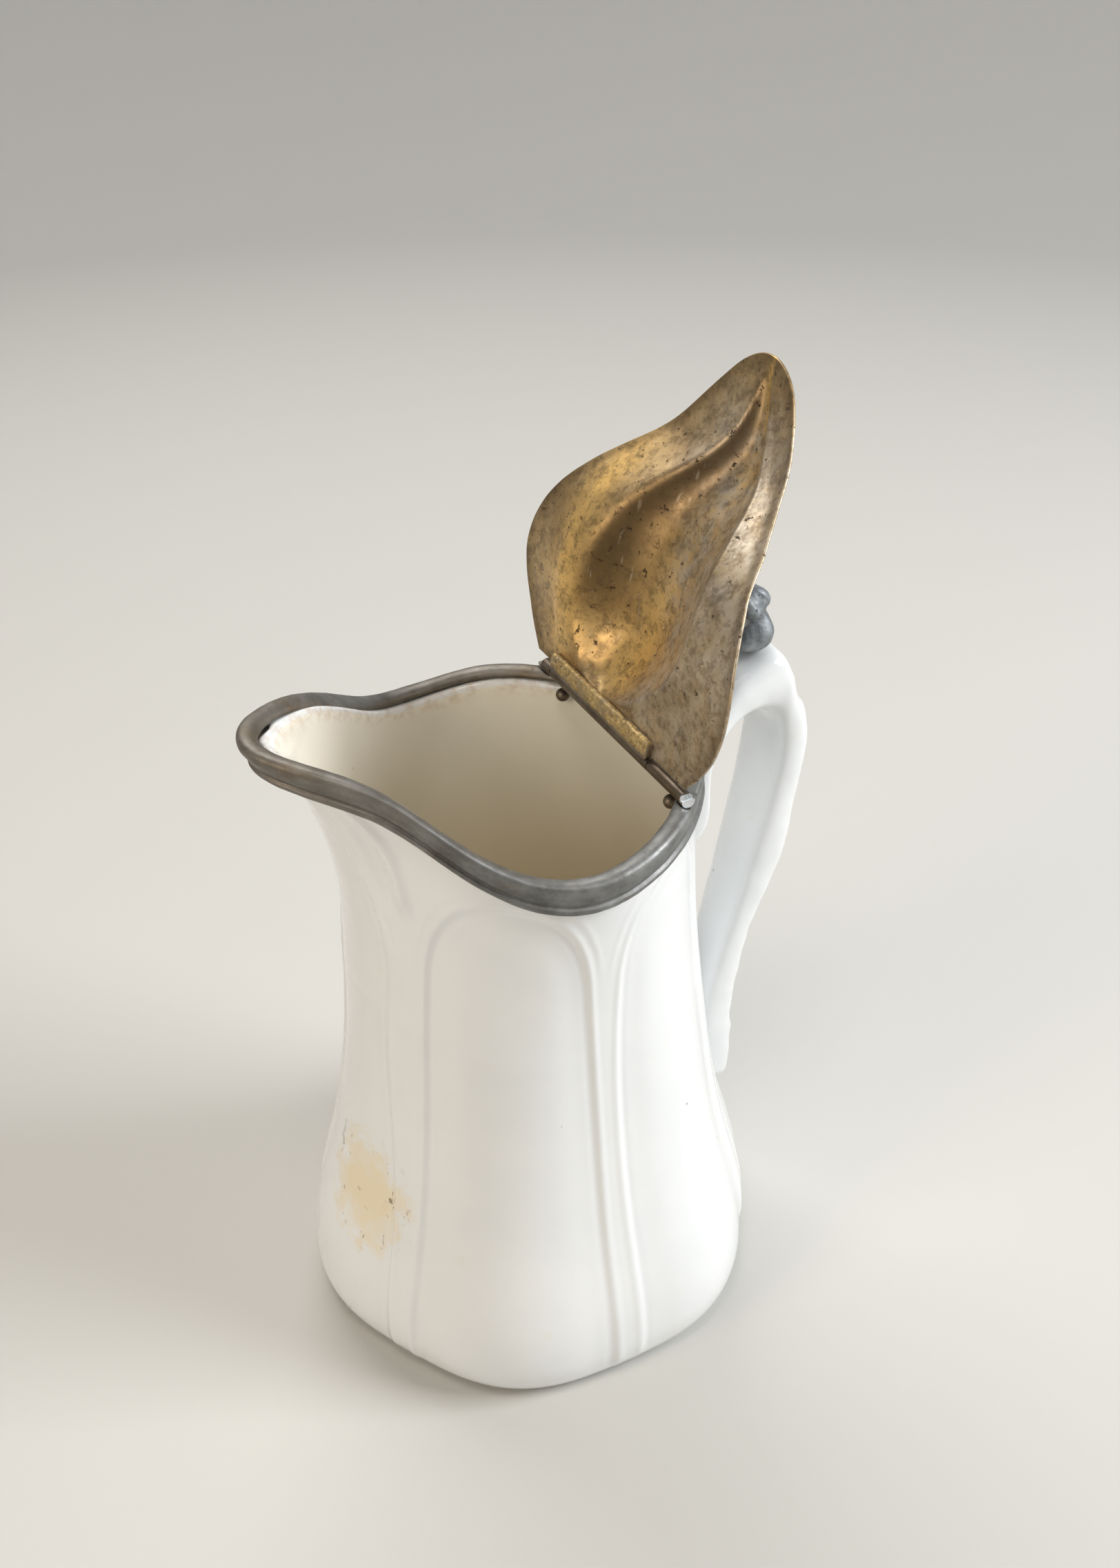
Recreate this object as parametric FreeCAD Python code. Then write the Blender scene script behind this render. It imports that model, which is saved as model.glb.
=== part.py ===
"""Lidded jug: glazed stoneware body and handle, pewter rim, hinged pewter lid.

The origin is the centre of the foot, on the table. +Z is up, the spout points
along -X, the handle along +X, and the jug is the same on both sides of the XZ
plane. All sizes are in millimetres. The lid is stored open.
"""
import FreeCAD, Part
import math
import os

Vector = FreeCAD.Vector

# ---- driving dimensions -------------------------------------------------
# Mouth of the jug, seen from above: angle from the spout, distance from the axis.
MOUTH = ((0, 62.0), (15, 55.0), (30, 47.0), (45, 45.2), (60, 45.5), (82, 47.2),
         (105, 45.5), (127, 42.0), (150, 41.0), (180, 41.3))
# Height of the rim's crest along X: low at the sides, swept up to the spout.
CREST = ((-64, 175.0), (-53, 173.2), (-41, 168.6), (-32, 161.5), (-22.5, 154.5),
         (-12, 150.8), (0, 150.6), (12, 152.4), (24, 153.2), (45, 153.0))
# Body radius against height, before the mouth's flare.
BODY = ((0, 55.0), (4, 57.0), (13, 59.0), (25, 57.3), (43, 52.4), (64, 48.0),
        (87, 44.9), (112, 42.6), (150, 41.2), (185, 41.0))
SHOULDER_Z = 70.0            # height where the mouth's flare begins
FLARE_POWER = 2.2            # how late the sides flare
SPOUT_FLARE_POWER = 2.0      # how much later the spout flares
SPOUT_SWELL = 1.2            # the neck is this much fuller under the spout
LOBES = 6                    # moulded panels round the body
LOBE_DEPTH = 0.020           # part of the radius, at the foot
LOBE_TOP_Z = 128.0           # the panels fade out here
WALL_FOOT = 5.0
WALL_LIP = 3.4
FLOOR_THICK = 6.5
LIP_DROP = 2.6               # crest of the pewter down to the top of the ceramic
LIP_INSET = 0.1              # ceramic wall inside the crest line

RIM_STATIONS = 96
SKIRT_LEAN_FROM = 2.0        # below this the skirt leans with the wall
SKIRT_LEAN = 0.66            # part of the wall's slope that the skirt takes

HINGE_X = 24.1
HINGE_Z = 154.5
OPEN_ANGLE = 102.6           # closed to stored position, degrees
PIN_R = 0.8
BORE_CLEARANCE = 0.06
KNUCKLE_R = 1.6
KNUCKLE_GAP = 0.3
NEAR_KNUCKLE = (-34.4, -19.5)
LID_KNUCKLE = (-19.2, 29.6)
FAR_KNUCKLE = (29.9, 34.4)
PLUG_LENGTH = 1.3

LID_SHEET = 0.9
LID_CLEARANCE = 0.62         # under the flange, above the crest, when shut
LID_OVERHANG = 0.4           # beyond the crest line
LID_SHIFT = 1.2              # the worn lid sits this far towards +Y
LID_SKEW = 0.028             # and leans this much further that way towards its tip
LID_TIP_OVERHANG = 2.0       # beyond the crest line at the spout
LID_CORNER_TUCK = 1.2        # the near back corner is worn back by this much
LID_BACK_X = HINGE_X - KNUCKLE_R - 0.4
DOME_HEIGHT = 12.0
DOME_HALF_WIDTH = 29.0
DOME_BACK = 20.5             # behind the axis
DOME_FRONT = 60.0            # ahead of the axis
THUMB_FORWARD = 27.0         # stalk of the thumb piece, ahead of the hinge
LEAF_LENGTH = 5.5
LEAF_DROP = 2.2
LEAF_FULL_Y = 29.3           # beyond this the leaf clears the rim

PLATE_THICK = 1.9
PLATE_Z = 152.8
PLATE_FRONT_X = HINGE_X + KNUCKLE_R + 0.4
PLATE_OVERHANG = 1.2

STUD_X = 24.8
STUD_Y = 26.9
STUD_Z = 149.2
STUD_BALL_R = 1.7
STUD_R = 1.0
STUD_LENGTH = 4.8            # ball centre out to just short of the pewter skirt
STUD_FIT = 0.05              # clearance round the peg in the wall

HANDLE_POWER = 3.2           # squareness of the handle's section


# ---- helpers --------------------------------------------------------------
def spline(knots):
    """Cubic through the knots, flat at both ends, held constant beyond them."""
    xs = [float(k[0]) for k in knots]
    ys = [float(k[1]) for k in knots]
    n = len(xs)
    gaps = [xs[i + 1] - xs[i] for i in range(n - 1)]
    rises = [(ys[i + 1] - ys[i]) / gaps[i] for i in range(n - 1)]
    diag = [2 * gaps[0]] + [2 * (gaps[i - 1] + gaps[i]) for i in range(1, n - 1)]
    diag.append(2 * gaps[-1])
    rhs = [6 * rises[0]] + [6 * (rises[i] - rises[i - 1]) for i in range(1, n - 1)]
    rhs.append(-6 * rises[-1])
    for i in range(1, n):
        factor = gaps[i - 1] / diag[i - 1]
        diag[i] -= factor * gaps[i - 1]
        rhs[i] -= factor * rhs[i - 1]
    bend = [0.0] * n
    bend[-1] = rhs[-1] / diag[-1]
    for i in range(n - 2, -1, -1):
        bend[i] = (rhs[i] - gaps[i] * bend[i + 1]) / diag[i]

    def value(x):
        x = min(max(x, xs[0]), xs[-1])
        i = max(k for k in range(n - 1) if xs[k] <= x)
        a = (xs[i + 1] - x) / gaps[i]
        b = 1.0 - a
        curve = (a ** 3 - a) * bend[i] + (b ** 3 - b) * bend[i + 1]
        return a * ys[i] + b * ys[i + 1] + curve * gaps[i] ** 2 / 6.0

    return value


mouth_radius = spline(MOUTH)
crest_z = spline(CREST)
body_radius = spline(BODY)


def plan(angle, radius):
    """Point at an angle in degrees from the spout, seen from above."""
    a = math.radians(angle)
    return -radius * math.cos(a), radius * math.sin(a)


def mouth_at(angle):
    """Distance from the axis to the crest line; the angle may be any size."""
    folded = abs((angle + 180.0) % 360.0 - 180.0)
    return mouth_radius(folded)


def mouth_point(angle, outward=0.0):
    """Point on the crest line, moved outward along its normal, and the normal."""
    step = 0.5
    x0, y0 = plan(angle - step, mouth_at(angle - step))
    x1, y1 = plan(angle + step, mouth_at(angle + step))
    length = math.hypot(x1 - x0, y1 - y0)
    nx = -(y1 - y0) / length
    ny = (x1 - x0) / length
    x, y = plan(angle, mouth_at(angle))
    return x + outward * nx, y + outward * ny, nx, ny


def outer_radius(angle, z):
    """Radius of the glazed outside of the body."""
    base = body_radius(z)
    fade = max(0.0, 1.0 - z / LOBE_TOP_Z)
    base *= 1.0 + LOBE_DEPTH * fade ** 0.7 * math.cos(math.radians(LOBES * angle))
    top = mouth_at(angle)
    rise = (z - SHOULDER_Z) / (crest_z(plan(angle, top)[0]) - SHOULDER_Z)
    if rise <= 0.0:
        return base
    forward = max(0.0, math.cos(math.radians(angle)))
    base += SPOUT_SWELL * forward * min(1.0, 3.0 * rise) ** 2
    power = FLARE_POWER + SPOUT_FLARE_POWER * forward ** 2
    return base + (top - LIP_INSET - base) * min(rise, 1.15) ** power


def ring(points):
    """Closed smooth wire through the points."""
    curve = Part.BSplineCurve()
    curve.interpolate(Points=points, PeriodicFlag=True)
    return Part.Wire(curve.toShape())


def body_section(z, inset, points=72):
    wire = []
    for i in range(points):
        angle = 360.0 * i / points
        x, y = plan(angle, outer_radius(angle, z) - inset)
        wire.append(Vector(x, y, z))
    return ring(wire)


def open_curve(points):
    curve = Part.BSplineCurve()
    curve.interpolate(Points=points)
    return curve.toShape()


def crest_curve(drop, left=-80.0, right=80.0, steps=48):
    """Edge in the XZ plane that follows the crest, lowered by drop."""
    points = []
    for i in range(steps + 1):
        x = left + (right - left) * i / steps
        points.append(Vector(x, -90.0, crest_z(x) - drop))
    return open_curve(points)


def above_crest(drop):
    """Everything higher than the crest surface lowered by drop."""
    edge = crest_curve(drop)
    first = edge.Vertexes[0].Point
    last = edge.Vertexes[-1].Point
    top = 260.0
    corners = [last, Vector(last.x, last.y, top), Vector(first.x, first.y, top), first]
    wire = Part.Wire([edge] + [Part.makeLine(a, b) for a, b in zip(corners, corners[1:])])
    return Part.Face(wire).extrude(Vector(0, 180, 0))


def cylinder_y(radius, y0, y1, x=HINGE_X, z=HINGE_Z):
    return Part.makeCylinder(radius, y1 - y0, Vector(x, y0, z), Vector(0, 1, 0))


def box(x0, x1, y0, y1, z0, z1):
    return Part.makeBox(x1 - x0, y1 - y0, z1 - z0, Vector(x0, y0, z0))


def revolve(profile, origin, direction):
    """Solid turned about an axis: profile is (distance along, radius) pairs."""
    points = [Vector(r, 0, h) for h, r in profile]
    edge = open_curve(points)
    ends = [points[-1], Vector(0, 0, profile[-1][0]), Vector(0, 0, profile[0][0]), points[0]]
    lines = [Part.makeLine(a, b) for a, b in zip(ends, ends[1:]) if a.distanceToPoint(b) > 1e-6]
    solid = outward(Part.Face(Part.Wire([edge] + lines)).revolve(Vector(), Vector(0, 0, 1), 360))
    turn = FreeCAD.Rotation(Vector(0, 0, 1), direction)
    solid.Placement = FreeCAD.Placement(origin, turn)
    return solid


def opened(shape):
    """Turn a piece of the lid from shut to its stored, open position."""
    turned = shape.copy()
    turned.rotate(Vector(HINGE_X, 0, HINGE_Z), Vector(0, 1, 0), OPEN_ANGLE)
    return turned


def outward(solid):
    """The same solid with its faces pointing out."""
    if solid.Volume < 0:
        solid.reverse()
    return solid


def export(node, shape):
    shape.exportStep("parts/%s.step" % node)


# ---- jug body ---------------------------------------------------------------
def outside():
    levels = (0, 2, 6, 13, 24, 37, 50, 64, 78, 90, 102, 114, 126, 136, 145, 153, 160, 166, 172, 181)
    return Part.makeLoft([body_section(z, 0.0) for z in levels], True, False)


def inside():
    levels = (FLOOR_THICK, 10, 18, 30, 46, 64, 80, 96, 112, 126, 138, 148, 156, 164, 172, 182)
    sections = []
    for z in levels:
        up = min(1.0, z / 150.0)
        wall = WALL_FOOT + (WALL_LIP - WALL_FOOT) * up
        corner = 6.0 * max(0.0, 1.0 - (z - FLOOR_THICK) / 7.0) ** 2
        sections.append(body_section(z, wall + corner))
    return Part.makeLoft(sections, True, False)


def stud_axis(side):
    """Start and outward direction of an anchor stud; side is -1 near, +1 far."""
    start = Vector(STUD_X, side * STUD_Y, STUD_Z)
    return start, Vector(STUD_X, side * STUD_Y, 0).normalize()


def jug_body(solid):
    body = solid.cut(inside()).cut(above_crest(LIP_DROP))
    for side in (-1, 1):
        start, out = stud_axis(side)
        body = body.cut(Part.makeCylinder(STUD_R + STUD_FIT, 20.0, start, out))
    return body


# ---- handle -----------------------------------------------------------------
# Along the handle: inner edge and outer edge in the XZ plane, and half the width.
HANDLE = (((36.0, 114.0), (36.0, 143.0), 8.0),
          ((48.0, 116.5), (42.0, 146.0), 10.5),
          ((46.8, 129.0), (44.0, 151.0), 10.5),
          ((45.5, 138.5), (48.0, 157.5), 10.0),
          ((51.0, 148.0), (53.0, 163.5), 9.5),
          ((58.8, 152.4), (60.0, 165.8), 9.0),
          ((64.8, 150.4), (68.2, 166.6), 8.5),
          ((66.2, 145.0), (71.0, 157.6), 9.5),
          ((65.2, 138.5), (75.8, 147.6), 10.5),
          ((63.8, 130.0), (75.4, 134.0), 10.5),
          ((62.0, 121.0), (72.6, 121.6), 10.0),
          ((59.6, 111.5), (72.8, 111.4), 9.8),
          ((57.2, 99.5), (68.2, 98.5), 9.0),
          ((54.2, 87.5), (62.8, 87.0), 8.6),
          ((50.6, 73.0), (61.6, 75.5), 7.8),
          ((48.0, 57.0), (58.6, 57.0), 6.8),
          ((49.0, 45.0), (61.6, 44.0), 6.2),
          ((51.0, 36.0), (60.4, 33.6), 4.6))


def handle_section(inner, outer, half_width, points=16):
    """Rounded rectangle across the handle, between its inner and outer edges."""
    middle = Vector((inner[0] + outer[0]) / 2, 0, (inner[1] + outer[1]) / 2)
    across = Vector(outer[0] - inner[0], 0, outer[1] - inner[1]) * 0.5
    wire = []
    for i in range(points):
        a = 2 * math.pi * i / points
        c = math.copysign(abs(math.cos(a)) ** (2 / HANDLE_POWER), math.cos(a))
        s = math.copysign(abs(math.sin(a)) ** (2 / HANDLE_POWER), math.sin(a))
        wire.append(middle + across * c + Vector(0, half_width * s, 0))
    return wire


def skin(rows):
    """Solid with a smooth closed side: each row holds the poles of one section."""
    count = len(rows)
    around = len(rows[0])
    knots = list(range(count - 2))
    mults = [4] + [1] * (count - 4) + [4]
    surface = Part.BSplineSurface()
    surface.buildFromPolesMultsKnots(rows, mults, [1] * (around + 1), knots,
                                     list(range(around + 1)), False, True, 3, 3)
    side = surface.toShape()
    ends = [surface.uIso(float(k)).toShape() for k in (knots[0], knots[-1])]
    caps = [Part.Face(Part.Wire(end)) for end in ends]
    shell = Part.Shell([side] + caps)
    shell.sewShape()
    return outward(Part.Solid(shell))


def handle(body_solid, rim):
    return skin([handle_section(*entry) for entry in HANDLE]).cut(body_solid).cut(rim)


# ---- pewter rim -------------------------------------------------------------
# Section of the rim: outward from the crest line, and up from the crest.
RIM_SECTION = ((1.75, -0.7), (1.8, -2.4), (1.35, -3.8), (1.25, -5.2), (0.9, -5.9),
               (1.9, -6.3), (1.9, -7.6), (0.7, -7.9), (0.2, -7.4), (0.2, -6.0),
               (0.2, -4.4), (0.2, -3.0), (-0.2, -2.1), (-1.4, -1.8), (-2.8, -2.2),
               (-3.3, -1.2), (-2.5, -0.2), (-1.2, 0.25), (0.6, 0.25))


def rim_mount():
    """Closed cubic surface carried round the mouth, turned into a solid."""
    poles = []
    for i in range(RIM_STATIONS):
        angle = 360.0 * i / RIM_STATIONS
        x, y, nx, ny = mouth_point(angle)
        z = crest_z(x)
        radial = math.hypot(x, y)
        facing = (x * nx + y * ny) / radial
        row = []
        for d, h in RIM_SECTION:
            below = min(0.0, h + SKIRT_LEAN_FROM)
            lean = SKIRT_LEAN * (outer_radius(angle, z + below) - outer_radius(angle, z))
            out = d + lean * facing
            row.append(Vector(x + out * nx, y + out * ny, crest_z(x + d * nx) + h))
        poles.append(row)
    surface = Part.BSplineSurface()
    across = len(RIM_SECTION)
    surface.buildFromPolesMultsKnots(poles, [1] * (RIM_STATIONS + 1), [1] * (across + 1),
                                     list(range(RIM_STATIONS + 1)), list(range(across + 1)),
                                     True, True, 3, 3)
    return outward(Part.Solid(Part.Shell([surface.toShape()])))


def knuckle_seats():
    """The rim is filed away where the hinge tube crosses it, clear of the moving knuckle."""
    moving = cylinder_y(KNUCKLE_R + KNUCKLE_GAP, LID_KNUCKLE[0], FAR_KNUCKLE[0])
    return cylinder_y(KNUCKLE_R, -60.0, 60.0).fuse(moving)


# ---- lid, modelled shut -------------------------------------------------------
def dome_height(x, y):
    """Height of the lid's dome above its flange."""
    if x >= 0:
        along = 1.0 - (x / DOME_BACK) ** 2
        width = DOME_HALF_WIDTH * math.sqrt(max(along, 0.0))
        height = DOME_HEIGHT * max(along, 0.0) ** 0.8
    else:
        along = 1.0 - (-x / DOME_FRONT) ** 1.6
        width = DOME_HALF_WIDTH * max(along, 0.0)
        height = DOME_HEIGHT * max(along, 0.0)
    if width < 0.5 or abs(y) >= width:
        return 0.0
    return height * (1.0 - (y / width) ** 2) ** 1.5


def lid_outline(overhang, tip_overhang, shift=0.0, skew=0.0, corner_tuck=0.0, count=90):
    """Mouth outline with an overhang, moved and leant to +Y, with the near back corner drawn in."""
    points = []
    for i in range(count):
        angle = 360.0 * i / count
        forward = max(0.0, math.cos(math.radians(angle)))
        out = overhang + (tip_overhang - overhang) * forward ** 12
        out += shift * math.sin(math.radians(angle))
        out -= corner_tuck * math.exp(-((angle - 242.0) / 22.0) ** 2)
        x, y = mouth_point(angle, out)[:2]
        points.append(Vector(x, y + skew * (LID_BACK_X - x), 100.0))
    return ring(points)


def lid_shell():
    columns = 45
    rows = 41
    grid = []
    for i in range(columns):
        x = -70.0 + 98.0 * i / (columns - 1)
        line = []
        for j in range(rows):
            y = -54.0 + 108.0 * j / (rows - 1)
            line.append(Vector(x, y, crest_z(x) + LID_CLEARANCE + dome_height(x, y)))
        grid.append(line)
    surface = Part.BSplineSurface()
    surface.interpolate(grid)
    sheet = surface.toShape().extrude(Vector(0, 0, LID_SHEET))
    outline = Part.Face(lid_outline(LID_OVERHANG, LID_TIP_OVERHANG, LID_SHIFT, LID_SKEW, LID_CORNER_TUCK))
    blank = sheet.common(outline.extrude(Vector(0, 0, 120)))
    return blank.common(box(-90, LID_BACK_X, -60, 60, 90, 230))


def lid_leaf():
    """Soldered strip under the lid's back edge that carries the lid's knuckle."""
    low = HINGE_Z - LEAF_DROP
    flange = crest_z(HINGE_X - 3.0) + LID_CLEARANCE
    front = HINGE_X - LEAF_LENGTH
    deep = box(front, HINGE_X, LID_KNUCKLE[0], LEAF_FULL_Y, low, flange)
    behind = box(LID_BACK_X, HINGE_X, LID_KNUCKLE[0], LID_KNUCKLE[1], low, flange + LID_SHEET)
    behind = behind.common(box(0, 90, -60, LEAF_FULL_Y, 90, 200))
    leaf = deep.fuse(behind).removeSplitter()
    return leaf.cut(cylinder_y(KNUCKLE_R, -60, 60))


def tube_y(span, bore):
    return cylinder_y(KNUCKLE_R, span[0], span[1]).cut(cylinder_y(bore, -60, 60))


def thumb_piece():
    """Cast bud on a short stalk, standing on the lid's dome."""
    foot = Vector(HINGE_X - THUMB_FORWARD, 0, HINGE_Z)
    stalk = revolve(((8.3, 5.8), (10.2, 4.8), (12.5, 3.4), (17.0, 2.7), (23.0, 3.2), (29.0, 4.0)),
                    foot, Vector(0, 0, 1))
    bud = revolve(((0.0, 1.2), (0.6, 3.6), (2.6, 5.6), (5.0, 6.0), (8.0, 5.0), (10.0, 4.2),
                   (12.4, 4.6), (15.0, 3.6), (16.8, 1.2)),
                  Vector(HINGE_X - 19.6, 0, HINGE_Z + 33.5), Vector(-0.965, 0, -0.264))
    return stalk.fuse(bud).removeSplitter()


# ---- fixed hinge half -----------------------------------------------------------
def back_plate(rim):
    """Fixed half-moon that closes the mouth between the hinge and the handle."""
    disc = Part.Face(lid_outline(PLATE_OVERHANG, PLATE_OVERHANG))
    plate = disc.extrude(Vector(0, 0, 120)).common(
        box(PLATE_FRONT_X, 90, -60, 60, PLATE_Z, PLATE_Z + PLATE_THICK))
    for span in (NEAR_KNUCKLE, FAR_KNUCKLE):
        tongue = box(HINGE_X, PLATE_FRONT_X + 1.0, span[0], span[1], PLATE_Z, PLATE_Z + PLATE_THICK)
        plate = plate.fuse(tongue)
    return plate.removeSplitter().cut(knuckle_seats()).cut(rim)


def end_plug(side):
    """Solder plug over the end of the pin, filed to a slope like the rim's."""
    start = side * abs(NEAR_KNUCKLE[0])
    tip = start + side * PLUG_LENGTH
    low, high = sorted((start, tip))
    plug = cylinder_y(KNUCKLE_R, low, high)
    slope = Part.makeBox(10, 4, 10, Vector(-5, 0, 0))
    slope.rotate(Vector(), Vector(1, 0, 0), 30.0)
    if side < 0:
        slope = slope.mirror(Vector(), Vector(0, 1, 0))
    slope.translate(Vector(HINGE_X, start + side * 0.5 * PLUG_LENGTH, HINGE_Z))
    return plug.cut(slope)


def anchor_stud(side):
    """Pewter peg run through the wall, with a ball head inside the jug."""
    start, out = stud_axis(side)
    peg = Part.makeCylinder(STUD_R, STUD_LENGTH, start, out)
    return Part.makeSphere(STUD_BALL_R, start).fuse(peg).removeSplitter()


# ---- build ------------------------------------------------------------------
def main():
    os.makedirs("parts", exist_ok=True)
    body_solid = outside()
    body = jug_body(body_solid)
    rim = rim_mount().cut(knuckle_seats())
    export("jug_body", body)
    export("handle", handle(body_solid, rim))
    export("rim_mount", rim)
    export("back_plate", back_plate(rim))
    for name, side in (("near", -1), ("far", 1)):
        export("anchor_stud_" + name, anchor_stud(side))
        export("end_plug_" + name, end_plug(side))
    export("knuckle_near", tube_y(NEAR_KNUCKLE, PIN_R))
    export("knuckle_far", tube_y(FAR_KNUCKLE, PIN_R))
    export("hinge_pin", cylinder_y(PIN_R, NEAR_KNUCKLE[0], FAR_KNUCKLE[1]))
    shell = lid_shell()
    export("lid_shell", opened(shell))
    export("lid_leaf", opened(lid_leaf().cut(shell)))
    export("lid_knuckle", opened(tube_y(LID_KNUCKLE, PIN_R + BORE_CLEARANCE)))
    thumb = thumb_piece().cut(shell)
    export("thumb_piece", opened(max(thumb.Solids, key=lambda solid: solid.Volume)))


main()
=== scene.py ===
"""Lidded stoneware jug with pewter mounts: looks, light and camera.

All sizes below are in millimetres in the CAD frame: origin at the centre of the
foot, +Z up, the spout along -X, the handle along +X. Meshes are made in metres.
"""
import math
import bpy
import numpy as np
from mathutils import Matrix, Vector, noise


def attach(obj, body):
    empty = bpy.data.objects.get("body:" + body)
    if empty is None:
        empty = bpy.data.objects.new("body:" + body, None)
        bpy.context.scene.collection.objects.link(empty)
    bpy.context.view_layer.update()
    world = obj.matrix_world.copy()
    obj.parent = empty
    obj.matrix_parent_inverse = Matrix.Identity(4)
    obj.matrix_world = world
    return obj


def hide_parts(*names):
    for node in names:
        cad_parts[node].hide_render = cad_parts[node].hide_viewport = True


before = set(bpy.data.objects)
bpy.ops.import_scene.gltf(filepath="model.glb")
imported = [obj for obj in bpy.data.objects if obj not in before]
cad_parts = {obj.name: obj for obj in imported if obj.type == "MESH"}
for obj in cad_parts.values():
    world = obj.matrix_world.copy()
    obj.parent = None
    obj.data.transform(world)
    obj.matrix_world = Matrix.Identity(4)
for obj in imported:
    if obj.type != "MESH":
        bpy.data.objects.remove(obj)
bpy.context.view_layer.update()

MM = 0.001
JUG, LID = "jug", "lid"

# ---- driving dimensions, the same as the frame's -----------------------------
MOUTH = ((0, 62.0), (15, 55.0), (30, 47.0), (45, 45.2), (60, 45.5), (82, 47.2),
         (105, 45.5), (127, 42.0), (150, 41.0), (180, 41.3))
CREST = ((-64, 175.0), (-53, 173.2), (-41, 168.6), (-32, 161.5), (-22.5, 154.5),
         (-12, 150.8), (0, 150.6), (12, 152.4), (24, 153.2), (45, 153.0))
BODY = ((0, 55.0), (4, 57.0), (13, 59.0), (25, 57.3), (43, 52.4), (64, 48.0),
        (87, 44.9), (112, 42.6), (150, 41.2), (185, 41.0))
SHOULDER_Z, FLARE_POWER, SPOUT_FLARE_POWER, SPOUT_SWELL = 70.0, 2.2, 2.0, 1.2
LOBES, LOBE_DEPTH, LOBE_TOP_Z = 6, 0.020, 128.0
WALL_FOOT, WALL_LIP, FLOOR_THICK = 5.0, 3.4, 6.5
LIP_DROP, LIP_INSET = 2.6, 0.1
SKIRT_LEAN_FROM, SKIRT_LEAN = 2.0, 0.66
HINGE_X, HINGE_Z, OPEN_ANGLE = 24.1, 154.5, 102.6
KNUCKLE_R = 1.6
LID_SHEET, LID_CLEARANCE, LID_OVERHANG = 0.9, 0.62, 0.4
LID_SHIFT, LID_SKEW = 1.2, 0.028
LID_TIP_OVERHANG, LID_CORNER_TUCK = 2.0, 1.2
LID_BACK_X = HINGE_X - KNUCKLE_R - 0.4
LEAF_FROM, LEAF_END = -19.2, 29.3


# ---- small maths -------------------------------------------------------------
def spline(knots):
    """Cubic through the knots, flat at both ends, for arrays."""
    xs = np.array([k[0] for k in knots], float)
    ys = np.array([k[1] for k in knots], float)
    n = len(xs)
    gap = np.diff(xs)
    rise = np.diff(ys) / gap
    matrix = np.zeros((n, n))
    rhs = np.zeros(n)
    matrix[0, 0], matrix[0, 1], rhs[0] = 2 * gap[0], gap[0], 6 * rise[0]
    matrix[-1, -1], matrix[-1, -2], rhs[-1] = 2 * gap[-1], gap[-1], -6 * rise[-1]
    for i in range(1, n - 1):
        matrix[i, i - 1:i + 2] = gap[i - 1], 2 * (gap[i - 1] + gap[i]), gap[i]
        rhs[i] = 6 * (rise[i] - rise[i - 1])
    bend = np.linalg.solve(matrix, rhs)

    def value(x):
        x = np.clip(np.asarray(x, float), xs[0], xs[-1])
        i = np.clip(np.searchsorted(xs, x, side="right") - 1, 0, n - 2)
        a = (xs[i + 1] - x) / gap[i]
        b = 1.0 - a
        curve = (a ** 3 - a) * bend[i] + (b ** 3 - b) * bend[i + 1]
        return a * ys[i] + b * ys[i + 1] + curve * gap[i] ** 2 / 6.0

    return value


mouth_radius, crest_z, body_radius = spline(MOUTH), spline(CREST), spline(BODY)


def smooth(a, b, x):
    """0 at a, 1 at b and a soft step between them; b may be below a."""
    t = np.clip((x - a) / (b - a), 0.0, 1.0)
    return t * t * (3 - 2 * t)


def hump(x, width):
    """Bell of height 1 about x = 0."""
    return np.exp(-(x / width) ** 2)


def mouth_at(angle):
    """Plan radius of the mouth at an angle in degrees from the spout."""
    return mouth_radius(np.abs((angle + 180.0) % 360.0 - 180.0))


def plan(angle, radius):
    """x and y of a plan angle and radius."""
    a = np.radians(angle)
    return -radius * np.cos(a), radius * np.sin(a)


def mouth_point(angle, outward=0.0):
    """Point on the crest line moved outward, with the line's normal there."""
    x0, y0 = plan(angle - 0.5, mouth_at(angle - 0.5))
    x1, y1 = plan(angle + 0.5, mouth_at(angle + 0.5))
    length = np.hypot(x1 - x0, y1 - y0)
    nx, ny = -(y1 - y0) / length, (x1 - x0) / length
    x, y = plan(angle, mouth_at(angle))
    return x + outward * nx, y + outward * ny, nx, ny


def outer_radius(angle, z):
    """Outside of the jug, without its mouldings."""
    base = body_radius(z)
    fade = np.maximum(0.0, 1.0 - z / LOBE_TOP_Z)
    base = base * (1.0 + LOBE_DEPTH * fade ** 0.7 * np.cos(np.radians(LOBES * angle)))
    top = mouth_at(angle)
    rise = (z - SHOULDER_Z) / (crest_z(plan(angle, top)[0]) - SHOULDER_Z)
    rise = np.clip(rise, 0.0, 1.15)
    forward = np.maximum(0.0, np.cos(np.radians(angle)))
    swell = SPOUT_SWELL * forward * np.minimum(1.0, 3.0 * rise) ** 2
    base = base + np.where(rise > 0, swell, 0.0)
    power = FLARE_POWER + SPOUT_FLARE_POWER * forward ** 2
    return base + np.where(rise > 0, (top - LIP_INSET - base) * rise ** power, 0.0)


def grain(points, size, octaves=3, seed=0.0):
    """Smooth noise in -1..1 at points in mm; size is its grain in mm."""
    shift = Vector((seed, seed * 1.7, -seed * 0.6))
    flat = points.reshape(-1, 3) / size
    out = [noise.fractal(Vector(p) + shift, 1.0, 2.0, octaves) for p in flat]
    return np.array(out).reshape(points.shape[:-1])


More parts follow.
